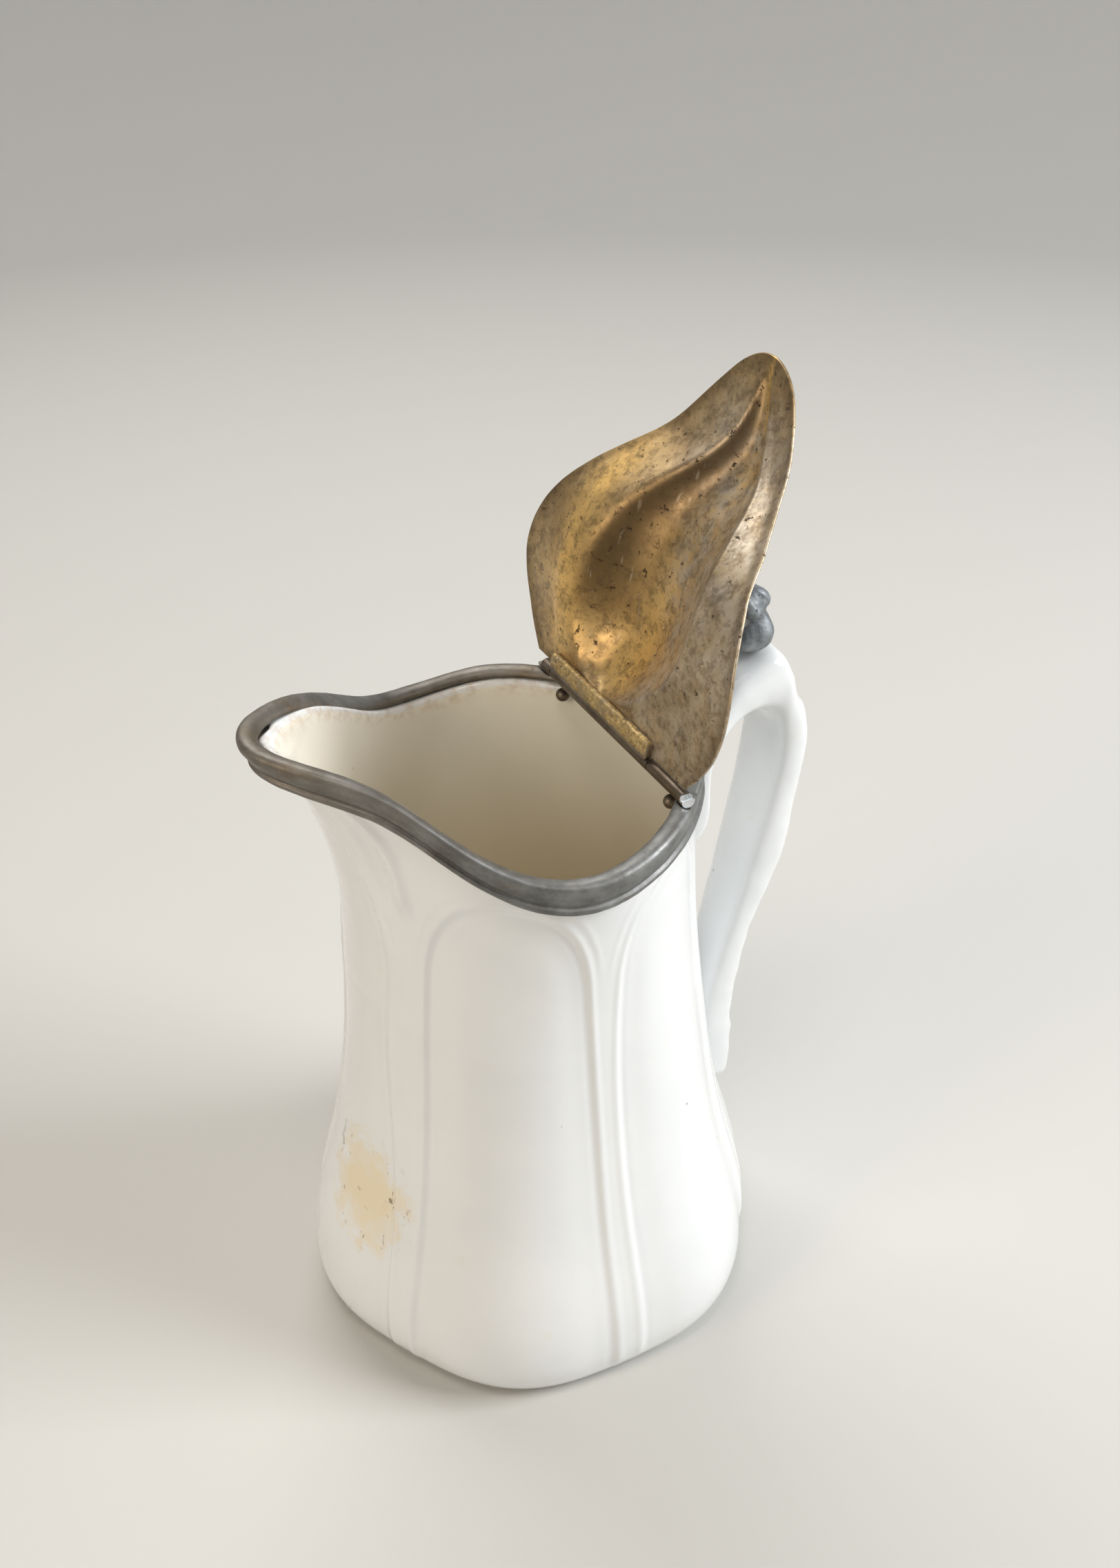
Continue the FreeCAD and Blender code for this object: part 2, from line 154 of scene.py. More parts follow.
# ---- mesh making -------------------------------------------------------------
def grid(name, points, wrap_rows=False, wrap_cols=True, caps=(False, False), flip=False):
    """Mesh over a grid of points (rows, columns, 3) in mm."""
    rows, cols = points.shape[:2]
    verts = [tuple(p) for p in points.reshape(-1, 3) * MM]
    faces = []
    for i in range(rows if wrap_rows else rows - 1):
        a, b = i * cols, ((i + 1) % rows) * cols
        for j in range(cols if wrap_cols else cols - 1):
            k = (j + 1) % cols
            faces.append((a + j, a + k, b + k, b + j))
    for wanted, row in zip(caps, (0, rows - 1)):
        if wanted:
            centre = len(verts)
            verts.append(tuple(points[row].mean(0) * MM))
            for j in range(cols):
                pair = (row * cols + (j + 1) % cols, row * cols + j)
                faces.append((centre, *(pair if row == 0 else pair[::-1])))
    if flip:
        faces = [f[::-1] for f in faces]
    mesh = bpy.data.meshes.new(name)
    mesh.from_pydata(verts, [], faces)
    mesh.validate()
    mesh.shade_smooth()
    obj = bpy.data.objects.new(name, mesh)
    bpy.context.scene.collection.objects.link(obj)
    return obj


def mask(obj, name, values):
    """Store one number per vertex for the materials to read."""
    layer = obj.data.attributes.new(name, "FLOAT", "POINT")
    full = np.zeros(len(obj.data.vertices), np.float32)
    flat = np.asarray(values, np.float32).ravel()
    full[:flat.size] = flat
    layer.data.foreach_set("value", full)


def place(obj, body, slot, material, *nodes):
    """Give a piece its material or materials and body, and hide the CAD parts it stands in for; slot is not
    used.
    """
    obj.data.materials.clear()
    for m in material if isinstance(material, (list, tuple)) else [material]:
        obj.data.materials.append(m)
    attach(obj, body)
    if nodes:
        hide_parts(*nodes)
    return obj


def second_material(obj, chosen):
    """Use the piece's second material on the faces that chosen picks."""
    obj.data.polygons.foreach_set("material_index", [int(chosen(p)) for p in obj.data.polygons])


def opened(points):
    """Turn points of the lid from shut to its stored, open position."""
    a = math.radians(OPEN_ANGLE)
    x, z = points[..., 0] - HINGE_X, points[..., 2] - HINGE_Z
    out = points.copy()
    out[..., 0] = HINGE_X + x * math.cos(a) + z * math.sin(a)
    out[..., 2] = HINGE_Z - x * math.sin(a) + z * math.cos(a)
    return out


def bspline_rows(poles, count, closed):
    """Cubic B-spline along axis 0 of poles, sampled count times."""
    n = len(poles)
    if closed:
        knots = np.arange(-3, n + 4, dtype=float)
        poles = np.concatenate([poles, poles[:3]])
        ts = np.arange(count) / count * n
        n = len(poles)
    else:
        inner = np.arange(0, n - 2, dtype=float)
        knots = np.concatenate([[0] * 3, inner, [inner[-1]] * 3])
        ts = np.linspace(0, inner[-1], count)
        ts[-1] -= 1e-9
    out = []
    for t in ts:
        k = min(max(np.searchsorted(knots, t, side="right") - 1, 3), n - 1)
        d = [poles[k - 3 + j] for j in range(4)]
        for r in range(1, 4):
            for j in range(3, r - 1, -1):
                left, right = knots[k - 3 + j], knots[j + 1 + k - r]
                w = (t - left) / (right - left)
                d[j] = (1 - w) * d[j - 1] + w * d[j]
        out.append(d[3])
    return np.array(out)


# ---- node helpers ------------------------------------------------------------
class Nodes:
    """Short way to wire up a material."""

    def __init__(self, name):
        self.mat = bpy.data.materials.new(name)
        self.mat.use_nodes = True
        self.tree = self.mat.node_tree
        self.tree.nodes.clear()
        out = self.tree.nodes.new("ShaderNodeOutputMaterial")
        self.shader = self.tree.nodes.new("ShaderNodeBsdfPrincipled")
        self.tree.links.new(self.shader.outputs[0], out.inputs[0])
        self.coord = self.tree.nodes.new("ShaderNodeTexCoord").outputs["Object"]

    def put(self, socket, value):
        """Link a socket, or set its constant."""
        if isinstance(value, bpy.types.NodeSocket):
            self.tree.links.new(value, socket)
        else:
            socket.default_value = value

    def surface(self, **values):
        for key, value in values.items():
            self.put(self.shader.inputs[key.replace("_", " ")], value)

    def noise(self, size, detail=4.0, rough=0.55, warp=0.0, stretch=None, seed=0.0):
        """Noise whose grain is size mm across, 0..1."""
        n = self.tree.nodes.new("ShaderNodeTexNoise")
        n.noise_dimensions = "4D"
        n.inputs["W"].default_value = seed
        n.inputs["Scale"].default_value = 1.0 / (size * MM)
        n.inputs["Detail"].default_value = detail
        n.inputs["Roughness"].default_value = rough
        n.inputs["Distortion"].default_value = warp
        self.put(n.inputs["Vector"], self.scaled(stretch) if stretch else self.coord)
        return n.outputs["Fac"]

    def scaled(self, stretch):
        m = self.tree.nodes.new("ShaderNodeMapping")
        m.inputs["Scale"].default_value = stretch
        self.put(m.inputs["Vector"], self.coord)
        return m.outputs[0]

    def cells(self, size):
        """Distance to the nearest of scattered points about size mm apart, in cells."""
        v = self.tree.nodes.new("ShaderNodeTexVoronoi")
        v.inputs["Scale"].default_value = 1.0 / (size * MM)
        self.put(v.inputs["Vector"], self.coord)
        return v.outputs["Distance"]

    def ramp(self, fac, *stops):
        """Straight ramp; each stop is (position, value or colour)."""
        r = self.tree.nodes.new("ShaderNodeValToRGB")
        elements = r.color_ramp.elements
        while len(elements) < len(stops):
            elements.new(0.5)
        for e, (at, value) in zip(elements, stops):
            e.position = at
            rgb = value if isinstance(value, tuple) else (value, value, value)
            e.color = (*rgb, 1.0)
        self.put(r.inputs[0], fac)
        return r.outputs[0]

    def mix(self, fac, a, b, how="MIX"):
        m = self.tree.nodes.new("ShaderNodeMix")
        m.data_type, m.blend_type = "RGBA", how
        self.put(m.inputs[0], fac)
        for socket, value in ((m.inputs[6], a), (m.inputs[7], b)):
            self.put(socket, (*value, 1.0) if isinstance(value, tuple) else value)
        return m.outputs[2]

    def maths(self, how, a, b=0.0):
        m = self.tree.nodes.new("ShaderNodeMath")
        m.operation, m.use_clamp = how, how == "MULTIPLY"
        self.put(m.inputs[0], a)
        self.put(m.inputs[1], b)
        return m.outputs[0]

    def attribute(self, name):
        a = self.tree.nodes.new("ShaderNodeAttribute")
        a.attribute_name = name
        return a.outputs["Fac"]

    def ball(self, centre, radius):
        """1 at centre (mm), 0 at radius (mm) and less than 0 beyond."""
        d = self.tree.nodes.new("ShaderNodeVectorMath")
        d.operation = "DISTANCE"
        self.put(d.inputs[0], self.coord)
        d.inputs[1].default_value = [c * MM for c in centre]
        near = self.maths("DIVIDE", d.outputs["Value"], radius * MM)
        return self.maths("SUBTRACT", 1.0, near)

    def bump(self, height, distance, strength=1.0, normal=None):
        """Normal bent by a height of distance mm."""
        b = self.tree.nodes.new("ShaderNodeBump")
        b.inputs["Strength"].default_value = strength
        b.inputs["Distance"].default_value = distance * MM
        self.put(b.inputs["Height"], height)
        if normal is not None:
            self.put(b.inputs["Normal"], normal)
        return b.outputs[0]


# ---- materials (colours are linear RGB, grain sizes are in mm) ---------------
GLAZE_COOL, GLAZE_PALE = (0.79, 0.81, 0.82), (0.83, 0.845, 0.85)
INSIDE_SHADED_CREAM, INSIDE_SHADED_PALE, INSIDE_SHADE_TAN = (0.85, 0.81, 0.71), (0.88, 0.85, 0.76), (0.86, 0.74, 0.52)
LIP_BROWN, SPECK_BROWN, FAINT_YELLOW = (0.50, 0.34, 0.19), (0.22, 0.17, 0.13), (0.80, 0.74, 0.62)
STAIN_YELLOW, NICK_BROWN = (0.83, 0.64, 0.28), (0.20, 0.13, 0.06)
STAIN_ANGLE, STAIN_Z, STAIN_R = -12.0, 47.0, 21.0
LID_BROWN, LID_PALE, LID_GOLD_SHEEN = (0.27, 0.182, 0.092), (0.52, 0.375, 0.195), (0.96, 0.62, 0.20)
LID_WORN, LID_SHADE = (0.56, 0.485, 0.385), (0.085, 0.052, 0.022)
LID_MOTTLE, LID_PIT, LID_STREAK = (0.10, 0.066, 0.036), (0.06, 0.042, 0.03), (0.62, 0.54, 0.40)


def glaze(name, inside=False):
    """White glaze with clouds, specks and a brown lip; the outside has one yellow stain, and the inside is
    painted cream turning tan deeper down, as painted shade and warm light.
    """
    m = Nodes(name)
    cloud = m.ramp(m.noise(28.0, 3.0), (0.35, 0.0), (0.65, 1.0))
    if inside:
        # Inside: painted shade and warm light, cream clouds that turn tan deeper down.
        colour = m.mix(cloud, INSIDE_SHADED_CREAM, INSIDE_SHADED_PALE)
        colour = m.mix(m.maths("MULTIPLY", m.attribute("depth"), 0.65), colour, INSIDE_SHADE_TAN)
    else:
        colour = m.mix(cloud, GLAZE_COOL, GLAZE_PALE)
    broken = m.ramp(m.noise(3.0, 5.0, 0.65, seed=3.0), (0.46, 0.0), (0.62, 1.0))
    lip = m.maths("MULTIPLY", m.attribute("lip"), broken)
    colour = m.mix(m.maths("MULTIPLY", lip, 0.38), colour, LIP_BROWN)
    specks = m.ramp(m.cells(9.0), (0.028, 1.0), (0.045, 0.0))
    some = m.ramp(m.noise(11.0, 1.0, seed=8.0), (0.52, 0.0), (0.56, 1.0))
    specks = m.maths("MULTIPLY", m.maths("MULTIPLY", specks, some), 0.8)
    colour = m.mix(specks, colour, SPECK_BROWN)
    faint = m.ramp(m.noise(7.0, 6.0, 0.7, seed=5.0), (0.60, 0.0), (0.72, 0.25))
    colour = m.mix(faint, colour, FAINT_YELLOW)
    if not inside:
        x, y = plan(STAIN_ANGLE, float(outer_radius(STAIN_ANGLE, STAIN_Z)))
        patch = m.ball((float(x), float(y), STAIN_Z), STAIN_R)
        ragged = m.noise(7.0, 7.0, 0.66, seed=2.0)
        edge = m.maths("ADD", m.maths("MULTIPLY", patch, 0.55), ragged)
        yellow = m.ramp(edge, (0.62, 0.0), (0.72, 0.45), (0.92, 0.9))
        yellow = m.maths("MULTIPLY", yellow, m.ramp(patch, (0.0, 0.0), (0.25, 1.0)))
        colour = m.mix(m.maths("MULTIPLY", yellow, 0.62), colour, STAIN_YELLOW)
        nicks = m.noise(3.4, 7.0, 0.74, stretch=(1.0, 1.0, 0.45), seed=6.0)
        nicks = m.ramp(nicks, (0.60, 0.0), (0.625, 0.9))
        nicks = m.maths("MULTIPLY", nicks, m.ramp(patch, (0.1, 0.0), (0.45, 1.0)))
        colour = m.mix(nicks, colour, NICK_BROWN)
    m.surface(Base_Color=colour, Roughness=m.ramp(m.noise(16.0, 3.0, seed=4.0), (0.3, 0.10), (0.7, 0.17)))
    m.surface(Subsurface_Weight=0.06, Subsurface_Radius=(0.004, 0.0035, 0.003))
    m.surface(Coat_Weight=0.35, Coat_Roughness=0.06)
    ripple = m.bump(m.noise(9.0, 2.0, seed=7.0), 0.10, 0.5)
    m.surface(Normal=m.bump(m.noise(0.9, 2.0, seed=9.0), 0.006, 0.4, ripple))
    return m.mat


def pewter(name, dark, light, brown, browning, rough, pits, metal=0.92, grain_size=1.0, key=None):
    """Tarnished soft metal: two greys in clouds, brown patina, pits and scratches.

    browning runs from 0 to 1, rough is the least and most roughness, pits how strong the pits
    are, and key a mask on the piece that adds patina.
    """
    m = Nodes(name)
    cloud = m.noise(7.0, 6.0, 0.62)
    colour = m.mix(m.ramp(cloud, (0.36, 0.0), (0.64, 1.0)), dark, light)
    fine = m.ramp(m.noise(0.8 * grain_size, 6.0, 0.7, seed=2.0), (0.35, 0.0), (0.7, 1.0))
    colour = m.mix(m.maths("MULTIPLY", fine, 0.35), colour, light)
    patina = m.noise(11.0, 6.0, 0.65, warp=0.4, seed=3.0)
    patina = m.ramp(patina, (0.62 - 0.3 * browning, 0.0), (0.85 - 0.3 * browning, 1.0))
    if key:
        patina = m.maths("ADD", m.maths("MULTIPLY", patina, 0.6), m.attribute(key))
    colour = m.mix(m.maths("MULTIPLY", patina, 0.85), colour, brown)
    pit = m.ramp(m.noise(1.5 * grain_size, 7.0, 0.75, seed=5.0), (0.60, 0.0), (0.68, 1.0))
    spot = m.maths("MULTIPLY", pit, pits)
    colour = m.mix(spot, colour, tuple(c * 0.25 for c in dark))
    m.surface(Base_Color=colour, Metallic=metal)
    rough_map = m.ramp(m.noise(3.5, 6.0, 0.7, seed=6.0), (0.3, rough[0]), (0.7, rough[1]))
    m.surface(Roughness=m.mix(spot, rough_map, (0.75, 0.75, 0.75)))
    scratch = m.noise(0.5, 4.0, 0.6, stretch=(0.25, 1.0, 1.0), seed=7.0)
    normal = m.bump(scratch, 0.02, 0.35)
    lumps = m.noise(2.2 * grain_size, 6.0, 0.65, seed=8.0)
    normal = m.bump(lumps, 0.07 * grain_size, 0.55, normal)
    m.surface(Normal=m.bump(pit, -0.12, 0.6 * pits, normal))
    return m.mat


def lid_metal(name):
    """Inside of the lid: golden brown patina with painted golden sheen and highlights, grey where worn,
    painted shade along the bowl's wall, dark specks and pits.
    """
    m = Nodes(name)
    cloud = m.ramp(m.noise(16.0, 6.0, 0.6, warp=0.5), (0.36, 0.0), (0.64, 1.0))
    colour = m.mix(cloud, LID_BROWN, LID_PALE)
    patchy = m.ramp(m.noise(6.0, 6.0, 0.65, seed=2.0), (0.25, 0.55), (0.7, 1.0))
    # Golden patina with painted sheen: this mask also paints the highlight along the flange bend and the
    # sheen in the bowl.
    colour = m.mix(m.maths("MULTIPLY", m.attribute("gold_and_sheen"), patchy), colour, LID_GOLD_SHEEN)
    patchy = m.ramp(m.noise(5.0, 7.0, 0.7, seed=3.0), (0.34, 0.15), (0.62, 1.0))
    colour = m.mix(m.maths("MULTIPLY", m.attribute("worn"), patchy), colour, LID_WORN)
    colour = m.mix(m.maths("MULTIPLY", m.attribute("shade"), 0.92), colour, LID_SHADE)
    mottle = m.ramp(m.noise(2.6, 8.0, 0.74, warp=0.3, seed=4.0), (0.47, 0.0), (0.60, 1.0))
    colour = m.mix(m.maths("MULTIPLY", mottle, 0.55), colour, LID_MOTTLE)
    pit = m.ramp(m.noise(2.0, 8.0, 0.74, seed=5.0), (0.585, 0.0), (0.615, 1.0))
    colour = m.mix(m.maths("MULTIPLY", pit, 0.85), colour, LID_PIT)
    streak = m.noise(0.9, 5.0, 0.6, stretch=(0.14, 1.0, 0.14), seed=9.0)
    colour = m.mix(m.ramp(streak, (0.60, 0.0), (0.72, 0.45)), colour, LID_STREAK)
    m.surface(Base_Color=colour, Metallic=0.82)
    rough_map = m.ramp(m.noise(4.0, 6.0, 0.7, seed=6.0), (0.3, 0.34), (0.7, 0.54))
    m.surface(Roughness=m.mix(pit, rough_map, (0.8, 0.8, 0.8)))
    scratch = m.noise(0.45, 4.0, 0.6, stretch=(0.3, 1.0, 1.0), seed=7.0)
    normal = m.bump(scratch, 0.015, 0.3)
    normal = m.bump(m.noise(3.2, 6.0, 0.65, seed=8.0), 0.10, 0.5, normal)
    m.surface(Normal=m.bump(pit, -0.10, 0.5, normal))
    return m.mat


def solder(name):
    """Granular golden solder, rough and unfiled."""
    m = Nodes(name)
    lump = m.noise(1.1, 6.0, 0.7)
    colour = m.mix(m.ramp(lump, (0.36, 0.0), (0.62, 1.0)), (0.24, 0.165, 0.07), (0.66, 0.49, 0.22))
    crumb = m.ramp(m.noise(0.45, 5.0, 0.7, seed=2.0), (0.5, 0.0), (0.68, 0.8))
    colour = m.mix(crumb, colour, (0.74, 0.62, 0.38))
    tarnish = m.ramp(m.noise(4.0, 3.0, seed=3.0), (0.5, 0.0), (0.66, 0.6))
    colour = m.mix(tarnish, colour, (0.30, 0.25, 0.19))
    m.surface(Base_Color=colour, Metallic=0.75, Roughness=m.ramp(lump, (0.3, 0.62), (0.7, 0.40)))
    m.surface(Normal=m.bump(lump, 0.28, 0.9))
    return m.mat


glaze_out = glaze("glaze_outside")
glaze_in_shaded = glaze("glaze_inside_shaded", inside=True)
gold_solder = solder("gold_solder")
lid_in = lid_metal("lid_inside")
rim_pewter = pewter("rim_pewter", (0.13, 0.13, 0.125), (0.27, 0.275, 0.27), (0.17, 0.12, 0.065),
                    browning=0.32, rough=(0.42, 0.60), pits=0.4, metal=0.82, key="tan")
plain_pewter = pewter("plate_pewter", (0.17, 0.17, 0.165), (0.32, 0.32, 0.31), (0.17, 0.12, 0.07),
                      browning=0.4, rough=(0.32, 0.5), pits=0.4)
dark_pewter = pewter("dark_pewter", (0.10, 0.082, 0.065), (0.22, 0.18, 0.14), (0.13, 0.085, 0.05),
                     browning=0.5, rough=(0.34, 0.52), pits=0.5, grain_size=0.6)
leaf_pewter = pewter("leaf_pewter", (0.18, 0.155, 0.125), (0.34, 0.30, 0.25), (0.24, 0.17, 0.09),
                     browning=0.5, rough=(0.38, 0.55), pits=0.5, grain_size=0.7)
bright_cap = pewter("filed_solder", (0.45, 0.48, 0.50), (0.78, 0.80, 0.82), (0.40, 0.36, 0.30),
                    browning=0.1, rough=(0.18, 0.34), pits=0.2, grain_size=0.6)
lid_out = pewter("lid_outside", (0.20, 0.20, 0.195), (0.38, 0.375, 0.36), (0.22, 0.16, 0.09),
                 browning=0.35, rough=(0.28, 0.46), pits=0.4)
cast = pewter("cast_pewter", (0.10, 0.112, 0.125), (0.40, 0.425, 0.44), (0.24, 0.165, 0.10),
              browning=0.34, rough=(0.46, 0.64), pits=0.9, metal=0.6, grain_size=0.9)
wire = pewter("pin_wire", (0.28, 0.21, 0.11), (0.50, 0.40, 0.22), (0.20, 0.13, 0.06),
              browning=0.4, rough=(0.3, 0.5), pits=0.4, grain_size=0.5)


# ---- jug body ----------------------------------------------------------------
PANEL_SPAN = 360.0 / LOBES
ARCH_SPRING, ARCH_TOP, ARCH_POWER = 116.0, 143.6, 2.4
ARCH_HALF_WIDTH = 22.0      # turns the arch's distance into about millimetres
BODY_COLUMNS, OUTER_ROWS, INNER_ROWS = 576, 190, 90
BODY_SETBACK = 0.12         # keeps the ribs' tops near the frame's surface
FOOT_Z, ROUND_LIP, FLOOR_BEND = 1.1, 1.3, 6.0
FOOT_RING = ((30.0, 1.0), (9.0, 1.0), (7.6, 0.9), (6.8, 0.3), (5.8, 0.0), (2.6, 0.0),
             (1.4, 0.15), (0.7, 0.55))      # inset from the outline, height
panel_half = spline(((0, 27.0), (40, 26.8), (85, 26.8), (110, 25.8), (124, 25.0), (150, 24.5)))
spout_half = spline(((0, 27.0), (25, 26.6), (63, 23.4), (98, 20.4), (118, 22.4),
                     (137, 18.5), (154, 10.6), (168, 4.5), (180, 3.0)))


def arch_distance(angle, z):
    """Rough distance in mm outside a panel's border, negative inside.

    The panel under the spout has no arch: its border runs up to the lip.
    """
    turn = (angle + PANEL_SPAN / 2) % PANEL_SPAN - PANEL_SPAN / 2
    radius = body_radius(z)
    across = np.radians(np.abs(turn)) * radius
    half = np.radians(panel_half(z)) * radius
    up = np.maximum(0.0, z - ARCH_SPRING) / (ARCH_TOP - ARCH_SPRING)
    inside = ((across / half) ** ARCH_POWER + up ** ARCH_POWER) ** (1 / ARCH_POWER)
    arch = (inside - 1.0) * ARCH_HALF_WIDTH
    spout = np.radians(np.abs(turn) - spout_half(z)) * radius
    under_spout = np.abs((angle + 180.0) % 360.0 - 180.0) < PANEL_SPAN / 2
    return np.where(under_spout, spout, arch)


leaf_middle = spline(((128, 31.0), (141, 29.6), (153, 26.4), (161, 20.0), (170, 13.0)))


def leaf_line(angle, z):
    """Distance in mm from the leaf-shaped rib that runs up beside the spout."""
    slant = 0.8             # the rib leans, so it is nearer than the plan distance
    fold = np.abs((angle + 180.0) % 360.0 - 180.0)
    return np.radians(fold - leaf_middle(z)) * outer_radius(angle, z) * slant


def moulding(angle, z):
    """Relief of the moulded panels, ribs and leaves, in mm."""
    d = arch_distance(angle, z)
    border = 0.36 * hump(d, 1.0)
    sunk = 0.20 * smooth(0.6, -1.6, d)
    groove = 0.16 * hump(d + 1.9, 1.0) + 0.38 * hump(d + 4.5, 4.0)
    above_foot = smooth(2.0, 9.0, z)
    second_arch = 0.16 * hump(d - 3.1, 0.8) * smooth(118.0, 132.0, z) * smooth(152.0, 146.0, z)
    leaf = leaf_line(angle, z)
    leaf_rib = 1.10 * hump(leaf, 1.3) - 1.05 * hump(leaf + 3.8, 2.0)
    return (border - sunk - groove) * above_foot + second_arch + leaf_rib * smooth(133.0, 141.0, z)


def jug_outline(angle, z):
    return outer_radius(angle, z) + moulding(angle, z) - BODY_SETBACK


def body_piece():
    """Foot ring, outside, lip, inside and floor as one closed skin."""
    angle = np.arange(BODY_COLUMNS) * 360.0 / BODY_COLUMNS
    top = np.full(BODY_COLUMNS, 150.0)
    for _ in range(25):
        x, _y = plan(angle, outer_radius(angle, top))
        top = crest_z(x) - LIP_DROP
    rows, lip, depth = [], [], []

    def add(radius, z, at_lip, down):
        x, y = plan(angle, radius)
        rows.append(np.stack([x, y, z + 0 * angle], -1))
        lip.append(at_lip + 0 * angle)
        depth.append(down + 0 * angle)

    foot = jug_outline(angle, 0 * angle)
    for inset, z in FOOT_RING:
        add(foot - inset, z, 0, 0)
    for s in np.linspace(0.0, 1.0, OUTER_ROWS):
        z = FOOT_Z + s * (top - ROUND_LIP - FOOT_Z)
        tucked = 0.25 * (1 - smooth(0.5, 3.0, z))
        add(jug_outline(angle, z) - tucked, z, smooth(0.955, 1.0, s), 0)
    r_out = jug_outline(angle, top - ROUND_LIP)
    r_in = outer_radius(angle, top) - WALL_LIP
    for s in np.linspace(0.1, 0.9, 7):
        a = s * math.pi
        middle, half = (r_out + r_in) / 2, (r_out - r_in) / 2
        over = np.sign(np.cos(a)) * abs(np.cos(a)) ** 0.6
        add(middle + half * over, top - ROUND_LIP + ROUND_LIP * abs(math.sin(a)) ** 0.7, 1, 0)
    inner_from = len(rows)
    floor_edge = FLOOR_THICK + FLOOR_BEND
    # Inner wall, then the floor: the last value of each row is the painted inside shade, growing from the
    # lip down and full on the floor.
    for s in np.linspace(0.0, 1.0, INNER_ROWS) ** 1.15:
        z = (top - ROUND_LIP) * (1 - s) + floor_edge * s
        wall = WALL_FOOT + (WALL_LIP - WALL_FOOT) * np.minimum(1.0, z / 150.0)
        add(outer_radius(angle, z) - wall, z, smooth(0.028, 0.0, s), smooth(0.03, 0.5, s))
    r_floor = outer_radius(angle, floor_edge) - WALL_FOOT
    for s in np.linspace(0.12, 1.0, 9):
        a = s * math.pi / 2
        add(r_floor - 8.0 * (1 - math.cos(a)), FLOOR_THICK + FLOOR_BEND * (1 - math.sin(a)), 0, 1)
    for inset in (16.0, 28.0, 42.0):
        add(r_floor - inset, FLOOR_THICK, 0, 1)
    body = grid("jug_body_glazed", np.array(rows), caps=(True, True))
    mask(body, "lip", np.array(lip))
    mask(body, "depth", np.array(depth))
    place(body, JUG, "glazed_stoneware", [glaze_out, glaze_in_shaded], "jug_body")
    first, end = inner_from * BODY_COLUMNS, len(rows) * BODY_COLUMNS
    second_material(body, lambda face: first <= face.vertices[0] < end or face.index >= end)


# ---- handle ------------------------------------------------------------------
# Inner edge and outer edge in the XZ plane, and half the width: from the body to the tip.
HANDLE = (((39.6, 114.5), (39.4, 143.0), 8.0),
          ((48.0, 116.5), (42.0, 146.0), 10.5),
          ((46.8, 129.0), (44.0, 151.0), 10.5),
          ((45.5, 138.5), (48.0, 157.5), 10.0),
          ((51.0, 148.0), (53.0, 163.5), 9.5),
          ((58.8, 152.4), (60.0, 165.8), 9.0),
          ((64.8, 150.4), (69.6, 168.2), 8.6),
          ((66.2, 145.0), (70.4, 156.8), 9.3),
          ((65.2, 138.5), (76.4, 147.8), 10.7),
          ((63.8, 130.0), (74.8, 134.0), 10.4),
          ((62.0, 121.0), (72.8, 121.6), 10.0),
          ((59.6, 111.5), (72.8, 111.4), 9.8),
          ((57.2, 99.5), (68.2, 98.5), 9.0),
          ((54.2, 87.5), (62.8, 87.0), 8.6),
          ((50.6, 73.0), (61.6, 75.5), 7.8),
          ((48.0, 57.0), (58.6, 57.0), 6.8),
          ((49.0, 45.0), (61.6, 44.0), 6.2),
          ((51.0, 36.0), (60.4, 33.6), 4.6))
HANDLE_POWER = 3.2           # 2 is an ellipse, more is squarer
HANDLE_POLES, HANDLE_ROWS, HANDLE_COLUMNS = 16, 260, 96
HANDLE_SETBACK, HANDLE_END_X = 0.15, 75.3
FRILL_AT, FRILL_HEIGHT, FRILL_PITCH = 0.66, 0.95, 9.4


def handle_piece():
    """Handle with scalloped outer edges, a vein down its back and a rounded tip."""
    poles = []
    a = 2 * math.pi * np.arange(HANDLE_POLES) / HANDLE_POLES
    c = np.sign(np.cos(a)) * np.abs(np.cos(a)) ** (2 / HANDLE_POWER)
    s = np.sign(np.sin(a)) * np.abs(np.sin(a)) ** (2 / HANDLE_POWER)
    for inner, outer, half_width in HANDLE:
        inner, outer = np.array(inner), np.array(outer)
        flat = (inner + outer) / 2 + (outer - inner)[None, :] / 2 * c[:, None]
        poles.append(np.stack([flat[:, 0], half_width * s, flat[:, 1]], -1))
    rows = bspline_rows(np.array(poles), HANDLE_ROWS, False)
    points = np.swapaxes(bspline_rows(np.swapaxes(rows, 0, 1), HANDLE_COLUMNS, True), 0, 1)
    middle = points.mean(1, keepdims=True)
    out = points - middle
    out /= np.linalg.norm(out, axis=2, keepdims=True)
    run = np.cumsum(np.linalg.norm(np.diff(middle[:, 0], axis=0), axis=1))
    run = np.concatenate([[0], run])
    u = 2 * math.pi * np.arange(HANDLE_COLUMNS) / HANDLE_COLUMNS
    turn = (u + math.pi) % (2 * math.pi) - math.pi
    frill = hump(np.abs(turn) - FRILL_AT, 0.42)
    beat = np.sin(run * 2 * math.pi / FRILL_PITCH + 1.1 * np.sin(run / 9.0))
    beat = beat * (0.72 + 0.28 * np.sin(run / 6.1))
    fade = smooth(20.0, 34.0, run) * smooth(run[-1] - 4.0, run[-1] - 22.0, run)
    relief = frill[None, :] * (FRILL_HEIGHT * beat * fade)[:, None]
    relief = relief - 0.30 * hump(turn, 0.30)[None, :] * fade[:, None]
    relief = relief + 0.22 * grain(points, 9.0, 2, 4.0)
    under_bud = smooth(158.0, 163.0, points[..., 2])
    relief = relief * (1.0 - 0.7 * under_bud) - 0.25 * under_bud
    points = points + out * (relief - HANDLE_SETBACK)[..., None]
    tip = points[-1]
    down = np.array([-0.1, 0, -1.0])
    ends = [tip.mean(0) + (tip - tip.mean(0)) * math.sqrt(1 - k * k) + down * 1.1 * k
            for k in (0.35, 0.65, 0.88)]
    points = np.concatenate([points, np.array(ends)])
    points[..., 0] = np.minimum(points[..., 0], HANDLE_END_X)
    handle = grid("handle_glazed", points, caps=(True, True), flip=True)
    place(handle, JUG, "glazed_stoneware", glaze_out, "handle")


